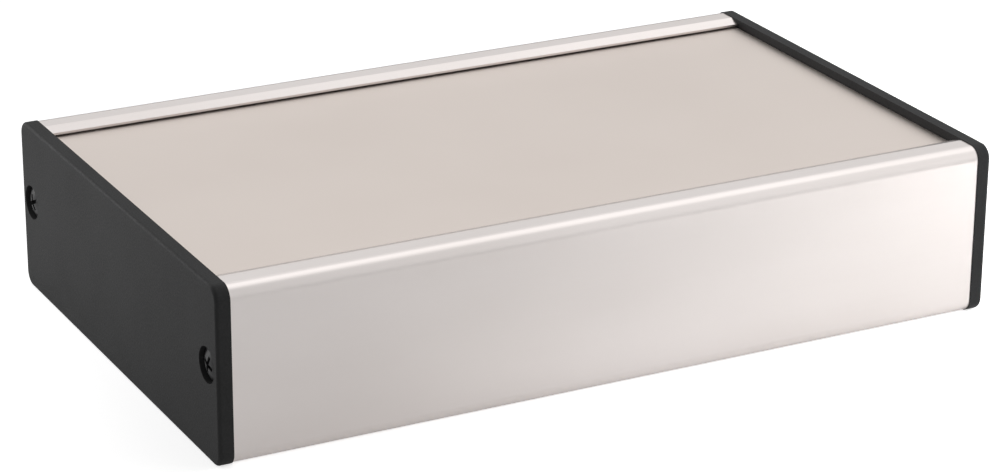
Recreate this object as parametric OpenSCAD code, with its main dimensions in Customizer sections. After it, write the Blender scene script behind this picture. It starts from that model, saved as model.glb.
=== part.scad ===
// Low instrument case: two extruded side profiles, two sliding panels and two
// moulded end caps, held together by four screws.
// +X runs along the extrusions to the right, -Y is the front, +Z is up.
// The origin is at the centre of the case, on the surface that it stands on.

/* [Case] */
// Length over both end caps
case_l = 188; // [120:1:300]
// Depth of an end cap, front to rear
case_d = 114; // [90:1:160]
// Height of an end cap
case_h = 40; // [36:1:60]

/* [Side profiles] */
// Thickness of the upright wall
wall_t = 2; // [1.6:0.1:2.6]
// Outside radius of the long edges
corner_r = 3; // [2:0.1:5]
// Width of each lip, from the outer face
lip_w = 9.6; // [7.5:0.1:10]
// Thickness of each lip
lip_t = 1.4; // [1.4:0.1:2.4]
// Width of the bevel along the inner edge of each lip
bevel_w = 2.8; // [0.5:0.1:3]
// Height of that bevel
bevel_h = 0.9; // [0.3:0.1:1.2]
// Width of the ledge under each panel, from the outer face
ledge_w = 7; // [5:0.1:8.6]
// Thickness of that ledge
ledge_t = 1.4; // [1:0.1:2]

/* [Board guides] */
// Height between the centres of the two guide slots
guide_pitch = 17; // [14:0.5:23]
// Height of a guide slot
guide_slot = 1.8; // [1.7:0.1:2.4]
// Thickness of a guide rib
guide_rib_t = 1.2; // [0.8:0.1:1.6]
// How far a guide rib stands out of the wall
guide_reach = 2.8; // [1.5:0.1:4]

/* [Screw ports] */
// Bore that the screws cut their thread in
port_bore = 3; // [2.6:0.1:3.4]
// Thickness of metal around the bore
port_wall = 1.6; // [1.2:0.1:2]
// Distance of the port from the outer face
port_inset = 5.4; // [5:0.1:6.6]
// Height of the port over the middle of the case
port_rise = 1.5; // [0:0.5:2]
// Width of the slot along the port
port_slot = 1.6; // [1:0.1:2]
// Height of the web that ties the port to the wall
port_web = 3; // [2:0.1:4]

/* [Panels] */
// Thickness of the top and bottom panels
panel_t = 1.5; // [1:0.1:2]

/* [End caps] */
// Thickness of an end cap
cap_t = 3.3; // [3:0.1:6]
// How far a cap stands proud of the extrusions
cap_proud = 0.2; // [0.1:0.05:0.4]
// Radius of the outer edge of a cap
cap_edge_r = 0.8; // [0.4:0.1:1.4]
// Thickness of the cored-out middle of a cap
cap_skin = 2; // [1.6:0.1:2.4]
// Thickness of the spigot that enters the extrusions
spigot_wall = 1.5; // [1.2:0.1:2]
// Length of the spigot
spigot_reach = 4; // [3:0.5:8]
// Number of stiffening ribs behind a cap
rib_count = 5; // [1:1:9]
// Thickness of a stiffening rib
rib_t = 1.2; // [0.8:0.1:1.6]

/* [Screw recesses] */
// Diameter of a recess
recess_d = 8; // [7.6:0.1:9]
// Depth of a recess
recess_depth = 2.2; // [1.8:0.1:2.4]
// Diameter of the hole behind a recess
screw_hole_d = 3.8; // [3.5:0.1:4.2]

/* [Screws] */
// Diameter of a screw head
head_d = 7.4; // [6:0.1:7.4]
// Height of a screw head
head_h = 2; // [1.6:0.1:2.2]
// Height of the straight rim of a screw head
head_rim = 1; // [0.5:0.1:1.2]
// Length of a screw under its head
screw_l = 12; // [8:1:20]
// Length of the pointed end of a screw
screw_tip = 2; // [1:0.5:3]
// Length of the cross in a screw head
cross_l = 3.8; // [3:0.1:4.4]
// Width of one bar of the cross
cross_w = 0.9; // [0.6:0.1:1.2]
// Depth of the cross
cross_depth = 1.1; // [0.8:0.1:1.4]

/* [Clearances] */
// Play of a panel across its groove
panel_gap = 0.4; // [0.1:0.05:0.5]
// Play between a panel's long edge and the wall
edge_gap = 0.3; // [0.2:0.05:0.5]
// Play between a panel's end and a cap
end_gap = 0.15; // [0.05:0.05:0.3]
// Play around the spigot of a cap
spigot_gap = 0.3; // [0.2:0.05:0.5]
// Play between a screw's core and the port
thread_gap = 0.05; // [0.02:0.01:0.1]

/* [Hidden] */
$fn = 96;

aluminium = [0.80, 0.79, 0.77];
black_plastic = [0.16, 0.16, 0.17];
black_steel = [0.10, 0.10, 0.11];

// Extra length of a cutter that has to pass through a face
through = 1;

// The extrusions lie inside the outline of the caps
profile_l = case_l - 2 * cap_t;
profile_h = case_h - 2 * cap_proud;
profile_y = case_d / 2 - cap_proud;
mid_z = case_h / 2;

// Heights in the section of a side profile, counted from its middle
lip_under = profile_h / 2 - lip_t;
ledge_top = lip_under - panel_gap - panel_t;
ledge_under = ledge_top - ledge_t;
port_r = port_bore / 2 + port_wall;

// The panels reach into the grooves of both side profiles
panel_l = profile_l - 2 * end_gap;
panel_w = 2 * (profile_y - wall_t - edge_gap);

// The outline of a cap, and the centres of its round corners
cap_r = corner_r + cap_proud;
corner_x = case_d / 2 - cap_r;
corner_y = case_h / 2 - cap_r;

// The spigot of a cap clears the lips, the ledges and the ports
spigot_x = profile_y - max(lip_w, ledge_w, port_inset + port_r) - spigot_gap;
spigot_y = ledge_top - spigot_gap;
pocket_x = spigot_x - spigot_wall;
pocket_y = spigot_y - spigot_wall;

// The screws stand in line with the ports
screw_y = profile_y - port_inset;
screw_core_r = port_bore / 2 - thread_gap;

// ---- Side profiles ----
// Their section is drawn with x as the depth from the outer face
// and y as the height over the middle of the case.

// What the rounding takes off a square corner at the origin
module rounding(r) {
    difference() {
        translate([-through, -through]) square(r + through);
        translate([r, r]) circle(r);
    }
}

// What the bevel takes off the inner edge of a lip
module bevel() {
    polygon([[-bevel_w, 0], [0, bevel_h], [through, bevel_h],
             [through, -through], [-bevel_w, -through]]);
}

// Upright wall with a bevelled lip along its top and its bottom
module wall_and_lips() {
    difference() {
        translate([0, -profile_h / 2]) square([lip_w, profile_h]);
        translate([wall_t, -lip_under]) square([lip_w, 2 * lip_under]);
        for (flip = [0, 1]) mirror([0, flip]) {
            translate([0, -profile_h / 2]) rounding(corner_r);
            translate([lip_w, -profile_h / 2]) bevel();
        }
    }
}

// Ledge that carries a panel, with the groove between it and the lip
module panel_ledge() {
    translate([wall_t, ledge_under]) square([ledge_w - wall_t, ledge_t]);
}

// Pair of ribs that hold the edge of a circuit board between them
module board_guide() {
    rib_y = (guide_slot + guide_rib_t) / 2;
    for (side = [-1, 1])
        translate([wall_t, guide_pitch / 2 + side * rib_y - guide_rib_t / 2])
            square([guide_reach, guide_rib_t]);
}

// Round port for an end screw, slotted along its inner side
module screw_port() {
    translate([port_inset, port_rise]) difference() {
        union() {
            circle(port_r);
            translate([wall_t - port_inset, -port_web / 2])
                square([port_inset - wall_t, port_web]);
        }
        circle(port_bore / 2);
        translate([0, -port_slot / 2]) square([port_r + through, port_slot]);
    }
}

module profile_section() {
    wall_and_lips();
    for (flip = [0, 1]) mirror([0, flip]) {
        panel_ledge();
        board_guide();
    }
    screw_port();
}

// Side profile as it stands at the front of the case
module side_profile() {
    translate([0, -profile_y, mid_z]) rotate([90, 0, 90])
        linear_extrude(profile_l, center = true) profile_section();
}

module front_profile() {
    color(aluminium) side_profile();
}

// The rear profile is the same extrusion turned round
module rear_profile() {
    color(aluminium) rotate(180) side_profile();
}

// ---- Panels ----

// Flat sheet whose long edges lie in the grooves of the side profiles
module panel(underside_z) {
    color(aluminium) translate([-panel_l / 2, -panel_w / 2, underside_z])
        cube([panel_l, panel_w, panel_t]);
}

// The top panel lies on the upper ledges
module top_panel() {
    panel(mid_z + ledge_top);
}

// The bottom panel lies on the lower lips
module bottom_panel() {
    panel(mid_z - lip_under);
}

// ---- End caps ----
// A cap is drawn with its outer face at z = 0 and with z running into the case,
// x along the depth of the case and y along its height.

// Plate with round corners
module cap_plate() {
    linear_extrude(cap_t) {
        square([2 * corner_x, case_h], center = true);
        square([case_d, 2 * corner_y], center = true);
        for (x = [-corner_x, corner_x], y = [-corner_y, corner_y])
            translate([x, y]) circle(cap_r);
    }
}

// Cutter that rounds the straight edge that runs through the origin along y
module cap_side_cutter(edge_l) {
    rotate([90, 0, 0]) linear_extrude(edge_l, center = true) rounding(cap_edge_r);
}

// The same rounding carried round one corner of the cap
module cap_corner_cutter() {
    rotate_extrude(angle = 90)
        translate([cap_r, 0]) mirror([1, 0]) rounding(cap_edge_r);
}

// Cutter that rounds the outer edge of the plate all the way round
module cap_edge_cutter() {
    for (turn = [0, 180]) rotate(turn) {
        translate([-case_d / 2, 0, 0]) cap_side_cutter(2 * corner_y);
        translate([0, -case_h / 2, 0]) rotate(90) cap_side_cutter(2 * corner_x);
        translate([corner_x, corner_y, 0]) cap_corner_cutter();
        translate([-corner_x, corner_y, 0]) rotate(90) cap_corner_cutter();
    }
}

// The plate with its rounded edge, cored out from behind
module cored_plate() {
    difference() {
        cap_plate();
        cap_edge_cutter();
        translate([0, 0, cap_skin]) linear_extrude(cap_t)
            square([2 * pocket_x, 2 * pocket_y], center = true);
    }
}

// Rectangular tube that centres the cap between the panels
module cap_spigot() {
    translate([0, 0, cap_t]) linear_extrude(spigot_reach)
        difference() {
            square([2 * spigot_x, 2 * spigot_y], center = true);
            square([2 * pocket_x, 2 * pocket_y], center = true);
        }
}

// Ribs that cross the cored-out middle of the cap
module cap_ribs() {
    rib_step = 2 * pocket_x / (rib_count + 1);
    translate([0, 0, cap_skin]) linear_extrude(cap_t - cap_skin) {
        square([2 * pocket_x, rib_t], center = true);
        for (i = [1 : rib_count])
            translate([i * rib_step - pocket_x, 0]) square([rib_t, 2 * pocket_y], center = true);
    }
}

// Round recess for a screw head, with the hole for its shank
module screw_recess() {
    translate([0, 0, -through]) cylinder(h = recess_depth + through, d = recess_d);
    cylinder(h = cap_t + through, d = screw_hole_d);
}

// Moulded end cap, the same at both ends of the case
module end_cap() {
    difference() {
        union() {
            cored_plate();
            cap_spigot();
            cap_ribs();
        }
        for (side = [-1, 1]) translate([side * screw_y, port_rise, 0]) screw_recess();
    }
}

// Puts a piece at the left (-1) or the right (1) end of the case
module at_end(end) {
    rotate(end < 0 ? 0 : 180) translate([-case_l / 2, 0, mid_z]) rotate([90, 0, 90])
        children();
}

module left_end_cap() {
    color(black_plastic) at_end(-1) end_cap();
}

module right_end_cap() {
    color(black_plastic) at_end(1) end_cap();
}

// ---- Screws ----
// A screw is drawn with the underside of its head at z = 0 and its point at +z.

// Half of the section of the domed head: x is the radius, y is the height
module head_section() {
    dome_h = head_h - head_rim;
    dome_r = (pow(head_d / 2, 2) + pow(dome_h, 2)) / (2 * dome_h);
    intersection() {
        square([head_d / 2, head_h]);
        translate([0, head_h - dome_r]) circle(dome_r);
    }
}

// Cross-shaped recess for the driver
module head_cross() {
    for (turn = [0, 90]) rotate(turn)
        translate([-cross_l / 2, -cross_w / 2, -head_h - through])
            cube([cross_l, cross_w, cross_depth + through]);
}

// Thread-forming screw with a domed head
module screw() {
    difference() {
        mirror([0, 0, 1]) rotate_extrude() head_section();
        head_cross();
    }
    cylinder(h = screw_l - screw_tip, r = screw_core_r);
    translate([0, 0, screw_l - screw_tip])
        cylinder(h = screw_tip, r1 = screw_core_r, r2 = screw_core_r / 3);
}

// Screw at the left (-1) or right (1) end, at the front (-1) or rear (1) side
module corner_screw(end, side, turn) {
    color(black_steel) at_end(end)
        translate([-end * side * screw_y, port_rise, recess_depth]) rotate(turn) screw();
}

module left_front_screw() {
    corner_screw(-1, -1, 20);
}

module left_rear_screw() {
    corner_screw(-1, 1, 65);
}

module right_front_screw() {
    corner_screw(1, -1, 50);
}

module right_rear_screw() {
    corner_screw(1, 1, 5);
}

front_profile();
rear_profile();
top_panel();
bottom_panel();
left_end_cap();
right_end_cap();
left_front_screw();
left_rear_screw();
right_front_screw();
right_rear_screw();
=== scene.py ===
import math

import bmesh
import bpy
from mathutils import Matrix, Vector

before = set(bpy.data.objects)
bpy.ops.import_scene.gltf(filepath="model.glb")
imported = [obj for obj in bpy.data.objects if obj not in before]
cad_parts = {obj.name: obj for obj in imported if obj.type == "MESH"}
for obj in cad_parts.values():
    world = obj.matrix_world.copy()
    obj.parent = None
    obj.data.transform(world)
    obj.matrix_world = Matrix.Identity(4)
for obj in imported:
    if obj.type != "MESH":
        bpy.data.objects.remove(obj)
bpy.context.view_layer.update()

# ---- Side profiles ----
# Two lengths of the same aluminium extrusion, front and rear. The die leaves faint
# lines along them, and the etched, clear-anodised skin is satin and slightly warm.

MM = 0.001


def finish_material(name, metallic):
    """A material with its shader, ready for the nodes of one finish."""
    material = bpy.data.materials.new(name)
    material.use_nodes = True
    shader = material.node_tree.nodes["Principled BSDF"]
    shader.inputs["Metallic"].default_value = metallic
    return material, material.node_tree, shader


def stretched_noise(tree, per_metre, detail=2, stretch=(1, 1, 1), roughness=0.5):
    """Noise on Object coordinates, in features per metre, drawn out where stretch is low."""
    place = tree.nodes.new("ShaderNodeTexCoord")
    mapping = tree.nodes.new("ShaderNodeMapping")
    noise = tree.nodes.new("ShaderNodeTexNoise")
    mapping.inputs["Scale"].default_value = stretch
    noise.inputs["Scale"].default_value = per_metre
    noise.inputs["Detail"].default_value = detail
    noise.inputs["Roughness"].default_value = roughness
    tree.links.new(place.outputs["Object"], mapping.inputs["Vector"])
    tree.links.new(mapping.outputs["Vector"], noise.inputs["Vector"])
    return noise.outputs["Fac"]


def ranged(tree, value, low, high, start=0.3, end=0.7):
    """Carries a value from start..end, the usual spread of noise, to low..high."""
    node = tree.nodes.new("ShaderNodeMapRange")
    node.inputs["From Min"].default_value = start
    node.inputs["From Max"].default_value = end
    node.inputs["To Min"].default_value = low
    node.inputs["To Max"].default_value = high
    tree.links.new(value, node.inputs["Value"])
    return node.outputs["Result"]


def mixed_colour(tree, factor, first, second):
    """Colour that goes from first to second with the factor."""
    node = tree.nodes.new("ShaderNodeMix")
    node.data_type = "RGBA"
    node.inputs["A"].default_value = (*first, 1)
    node.inputs["B"].default_value = (*second, 1)
    tree.links.new(factor, node.inputs["Factor"])
    return node.outputs["Result"]


def bumped(tree, height, depth, strength=0.4, below=None):
    """Bump of a given depth, in metres, on top of the bump below it."""
    node = tree.nodes.new("ShaderNodeBump")
    node.inputs["Distance"].default_value = depth
    node.inputs["Strength"].default_value = strength
    tree.links.new(height, node.inputs["Height"])
    if below is not None:
        tree.links.new(below, node.inputs["Normal"])
    return node.outputs["Normal"]


def dress(names, material):
    """Puts one finish on CAD nodes."""
    for name in names:
        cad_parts[name].material_slots[0].material = material


PROFILE_LIGHT = (0.795, 0.745, 0.725)
PROFILE_DARK = (0.745, 0.695, 0.672)
PROFILE_SMOOTHEST = 0.29
PROFILE_ROUGHEST = 0.35
DIE_LINES_PER_METRE = 900
DIE_LINE_STRETCH = (0.01, 1, 1)
DIE_LINE_DEPTH = 0.02 * MM
PROFILE_CLOUDS_PER_METRE = 30
PROFILE_CLOUD_STRETCH = (0.4, 1, 1)
PROFILE_GRAIN_PER_METRE = 4000
METAL_GRAIN_DEPTH = 0.01 * MM

extrusion, tree, shader = finish_material("anodised_extrusion", metallic=1.0)
die_lines = stretched_noise(tree, DIE_LINES_PER_METRE, detail=3, stretch=DIE_LINE_STRETCH)
clouds = stretched_noise(tree, PROFILE_CLOUDS_PER_METRE, stretch=PROFILE_CLOUD_STRETCH)
grain = stretched_noise(tree, PROFILE_GRAIN_PER_METRE)
tone = ranged(tree, clouds, 0.0, 1.0)
tree.links.new(mixed_colour(tree, tone, PROFILE_DARK, PROFILE_LIGHT), shader.inputs["Base Color"])
sheen = ranged(tree, die_lines, PROFILE_SMOOTHEST, PROFILE_ROUGHEST)
tree.links.new(sheen, shader.inputs["Roughness"])
lines_bump = bumped(tree, die_lines, DIE_LINE_DEPTH, strength=0.5)
grain_bump = bumped(tree, grain, METAL_GRAIN_DEPTH, below=lines_bump)
tree.links.new(grain_bump, shader.inputs["Normal"])
dress(["front_profile", "rear_profile"], extrusion)

# ---- Panels ----
# Two flat sheets of anodised aluminium that slide in the grooves of the profiles.
# Rolling leaves them a fine, even grain and no die lines.

PANEL_LIGHT = (0.753, 0.680, 0.632)
PANEL_DARK = (0.735, 0.661, 0.613)
PANEL_SMOOTHEST = 0.38
PANEL_ROUGHEST = 0.46
PANEL_CLOUDS_PER_METRE = 25
PANEL_GRAIN_PER_METRE = 3500

sheet, tree, shader = finish_material("anodised_sheet", metallic=1.0)
clouds = stretched_noise(tree, PANEL_CLOUDS_PER_METRE)
grain = stretched_noise(tree, PANEL_GRAIN_PER_METRE, detail=3)
tone = ranged(tree, clouds, 0.0, 1.0)
tree.links.new(mixed_colour(tree, tone, PANEL_DARK, PANEL_LIGHT), shader.inputs["Base Color"])
sheen = ranged(tree, grain, PANEL_SMOOTHEST, PANEL_ROUGHEST)
tree.links.new(sheen, shader.inputs["Roughness"])
tree.links.new(bumped(tree, grain, METAL_GRAIN_DEPTH), shader.inputs["Normal"])
dress(["top_panel", "bottom_panel"], sheet)

# ---- End caps ----
# Black moulded plastic with the fine matt grain of a spark-eroded mould. Each cap
# closes one end of the case and is held to both profiles by two screws.

CAP_DARK = (0.012, 0.012, 0.0124)
CAP_LIGHT = (0.017, 0.017, 0.0175)
CAP_SMOOTHEST = 0.58
CAP_ROUGHEST = 0.72
CAP_GLOSS = 0.3
SPARK_GRAIN_PER_METRE = 2500
SPARK_GRAIN_DEPTH = 0.06 * MM
CAP_CLOUDS_PER_METRE = 60

plastic, tree, shader = finish_material("moulded_plastic", metallic=0.0)
shader.inputs["Specular IOR Level"].default_value = CAP_GLOSS
spark_grain = stretched_noise(tree, SPARK_GRAIN_PER_METRE, detail=3, roughness=0.6)
clouds = stretched_noise(tree, CAP_CLOUDS_PER_METRE, detail=3)
tone = ranged(tree, clouds, 0.0, 1.0)
tree.links.new(mixed_colour(tree, tone, CAP_DARK, CAP_LIGHT), shader.inputs["Base Color"])
sheen = ranged(tree, spark_grain, CAP_SMOOTHEST, CAP_ROUGHEST)
tree.links.new(sheen, shader.inputs["Roughness"])
grain_bump = bumped(tree, spark_grain, SPARK_GRAIN_DEPTH, strength=0.6)
tree.links.new(grain_bump, shader.inputs["Normal"])
dress(["left_end_cap", "right_end_cap"], plastic)

# ---- Screws ----
# Four pan-head steel screws with a black zinc finish, turned into the ports of the
# profiles until their heads lie in the recesses of the caps.

SCREW_DARK = (0.015, 0.015, 0.016)
SCREW_LIGHT = (0.03, 0.03, 0.031)
SCREW_SMOOTHEST = 0.36
SCREW_ROUGHEST = 0.5
ZINC_CLOUDS_PER_METRE = 700
ZINC_CLOUD_DEPTH = 0.02 * MM

steel, tree, shader = finish_material("black_zinc_steel", metallic=0.3)
clouds = stretched_noise(tree, ZINC_CLOUDS_PER_METRE, detail=3)
tone = ranged(tree, clouds, 0.0, 1.0)
tree.links.new(mixed_colour(tree, tone, SCREW_DARK, SCREW_LIGHT), shader.inputs["Base Color"])
sheen = ranged(tree, clouds, SCREW_SMOOTHEST, SCREW_ROUGHEST)
tree.links.new(sheen, shader.inputs["Roughness"])
tree.links.new(bumped(tree, clouds, ZINC_CLOUD_DEPTH), shader.inputs["Normal"])
dress(
    [f"{end}_{side}_screw" for end in ("left", "right") for side in ("front", "rear")],
    steel,
)

# ---- Floor and backdrop ----
# A plain pale floor that keeps a soft shadow of the case, in a white room. A glow of its
# own brings the open floor near to white. Mirrored, the room is graded by direction: in
# front it grows brighter to the right, and at the rear it is dark low down.

FLOOR_HALF = 3.0
FLOOR_COLOUR = (0.85, 0.85, 0.85)
FLOOR_SEEN = 0.69
FLOOR_MIRRORED = 0.18
ROOM_SEEN = 1.0
ROOM_FILL = 0.28
ROOM_FRONT_LEFT = 0.5
ROOM_FRONT_RIGHT = 1.25
ROOM_BACK = 0.92
ROOM_BACK_LOW = 0.04

# The directions between which the room changes, along X, Z and Y of the ray.
FRONT_LEFT_TO_RIGHT = (0.34, 0.5)
BACK_LOW_TO_HIGH = (0.08, 0.27)
FRONT_TO_BACK = (-0.5, 0.2)

shape = bmesh.new()
bmesh.ops.create_grid(shape, x_segments=1, y_segments=1, size=FLOOR_HALF)
floor_mesh = bpy.data.meshes.new("floor")
shape.to_mesh(floor_mesh)
shape.free()
floor = bpy.data.objects.new("floor", floor_mesh)
bpy.context.scene.collection.objects.link(floor)

paper, tree, shader = finish_material("floor_paper", metallic=0.0)
shader.inputs["Roughness"].default_value = 1.0
shader.inputs["Base Color"].default_value = (*FLOOR_COLOUR, 1)
shader.inputs["Specular IOR Level"].default_value = 0.0
shader.inputs["Emission Color"].default_value = (1, 1, 1, 1)
rays = tree.nodes.new("ShaderNodeLightPath")
seen = ranged(tree, rays.outputs["Is Camera Ray"], 0.0, FLOOR_SEEN, 0.0, 1.0)
mirrored = ranged(tree, rays.outputs["Is Glossy Ray"], 0.0, FLOOR_MIRRORED, 0.0, 1.0)
glow = tree.nodes.new("ShaderNodeMath")
glow.operation = "ADD"
tree.links.new(seen, glow.inputs[0])
tree.links.new(mirrored, glow.inputs[1])
tree.links.new(glow.outputs["Value"], shader.inputs["Emission Strength"])
floor.data.materials.append(paper)

world = bpy.data.worlds.new("white_room")
bpy.context.scene.world = world
world.use_nodes = True
world.cycles.sampling_method = "NONE"
tree = world.node_tree
rays = tree.nodes.new("ShaderNodeLightPath")
ways = tree.nodes.new("ShaderNodeTexCoord")
parts = tree.nodes.new("ShaderNodeSeparateXYZ")
tree.links.new(ways.outputs["Generated"], parts.inputs["Vector"])
front = ranged(
    tree, parts.outputs["X"], ROOM_FRONT_LEFT, ROOM_FRONT_RIGHT, *FRONT_LEFT_TO_RIGHT
)
rear = ranged(tree, parts.outputs["Z"], ROOM_BACK_LOW, ROOM_BACK, *BACK_LOW_TO_HIGH)
graded = ranged(tree, parts.outputs["Y"], 0.0, 1.0, *FRONT_TO_BACK)
graded.node.interpolation_type = "SMOOTHSTEP"
tree.links.new(front, graded.node.inputs["To Min"])
tree.links.new(rear, graded.node.inputs["To Max"])
room_light = tree.nodes.new("ShaderNodeMix")
room_light.inputs["A"].default_value = ROOM_FILL
tree.links.new(graded, room_light.inputs["B"])
tree.links.new(rays.outputs["Is Glossy Ray"], room_light.inputs["Factor"])
direct = tree.nodes.new("ShaderNodeMath")
direct.operation = "MAXIMUM"
tree.links.new(rays.outputs["Is Camera Ray"], direct.inputs[0])
tree.links.new(rays.outputs["Is Transmission Ray"], direct.inputs[1])
shown = tree.nodes.new("ShaderNodeMix")
shown.inputs["B"].default_value = ROOM_SEEN
tree.links.new(direct.outputs["Value"], shown.inputs["Factor"])
tree.links.new(room_light.outputs["Result"], shown.inputs["A"])
tree.links.new(shown.outputs["Result"], tree.nodes["Background"].inputs["Strength"])
tree.nodes["Background"].inputs["Color"].default_value = (1, 1, 1, 1)

# ---- Lamps ----
# A softbox overhead and one low at the rear left, both of which the case mirrors. The six
# small ones low round it aren't mirrored: they light the plastic of the caps and the
# floor, which the front mirrors.

FRONT_RIGHT_FOOT = (0.1, -0.06, 0)


def softbox(name, place, aim, size, radiance, mirrored=False):
    """Area lamp that faces a point, as bright as given over its whole face."""
    width, height = size
    lamp = bpy.data.lights.new(name, "AREA")
    lamp.shape = "RECTANGLE"
    lamp.size = width
    lamp.size_y = height
    lamp.energy = math.pi * width * height * radiance
    holder = bpy.data.objects.new(name, lamp)
    holder.location = place
    holder.rotation_euler = (Vector(aim) - Vector(place)).to_track_quat("-Z", "Y").to_euler()
    holder.visible_camera = False
    holder.visible_glossy = mirrored
    bpy.context.scene.collection.objects.link(holder)


softbox(
    "overhead_softbox", (0.42, 0.14, 0.8), (0.03, 0, 0), (0.7, 0.8), radiance=0.44, mirrored=True
)
softbox("side_softbox", (0.32, -0.12, 0.18), FRONT_RIGHT_FOOT, (0.2, 0.2), radiance=4.3)
softbox("low_softbox", (0.26, -0.1, 0.1), FRONT_RIGHT_FOOT, (0.15, 0.12), radiance=3.71)
softbox("corner_softbox", (0.22, -0.07, 0.07), FRONT_RIGHT_FOOT, (0.1, 0.08), radiance=1.5)
softbox("front_softbox", (0.34, -0.34, 0.2), (0.12, -0.1, 0), (0.25, 0.25), radiance=1.8)
softbox("strip_softbox", (0.04, -0.08, 0.025), (0.04, -0.08, 0), (0.15, 0.02), radiance=0.45)
softbox("left_softbox", (-0.17, 0.06, 0.06), (-0.125, 0.035, 0), (0.12, 0.1), radiance=1.1)
softbox(
    "rear_left_softbox", (-0.5, 0.9, 0.14), (-0.1, 0, 0), (0.7, 0.26), radiance=4.4, mirrored=True
)

# ---- Camera ----
# It stands off the front left corner and looks down on the lid through a long lens,
# turned by a fraction of a degree about its own line of sight.

CAMERA_AIM = Vector((-0.956, -1.478, 15.570)) * MM
CAMERA_DISTANCE = 767.93 * MM
CAMERA_AZIMUTH = math.radians(-27.512)
CAMERA_ELEVATION = math.radians(21.589)
CAMERA_ROLL = math.radians(0.369)
CAMERA_SENSOR_MM = 36
CAMERA_LENS_MM = 121.30

back = Vector(
    (
        math.sin(CAMERA_AZIMUTH) * math.cos(CAMERA_ELEVATION),
        -math.cos(CAMERA_AZIMUTH) * math.cos(CAMERA_ELEVATION),
        math.sin(CAMERA_ELEVATION),
    )
)
camera_data = bpy.data.cameras.new("camera")
camera_data.sensor_width = CAMERA_SENSOR_MM
camera_data.lens = CAMERA_LENS_MM
camera = bpy.data.objects.new("camera", camera_data)
level = back.to_track_quat("Z", "Y").to_matrix()
camera.matrix_world = Matrix.Translation(CAMERA_AIM + back * CAMERA_DISTANCE) @ (
    level @ Matrix.Rotation(CAMERA_ROLL, 3, "Z")
).to_4x4()
bpy.context.scene.collection.objects.link(camera)
bpy.context.scene.camera = camera
bpy.context.scene.view_settings.view_transform = "Standard"
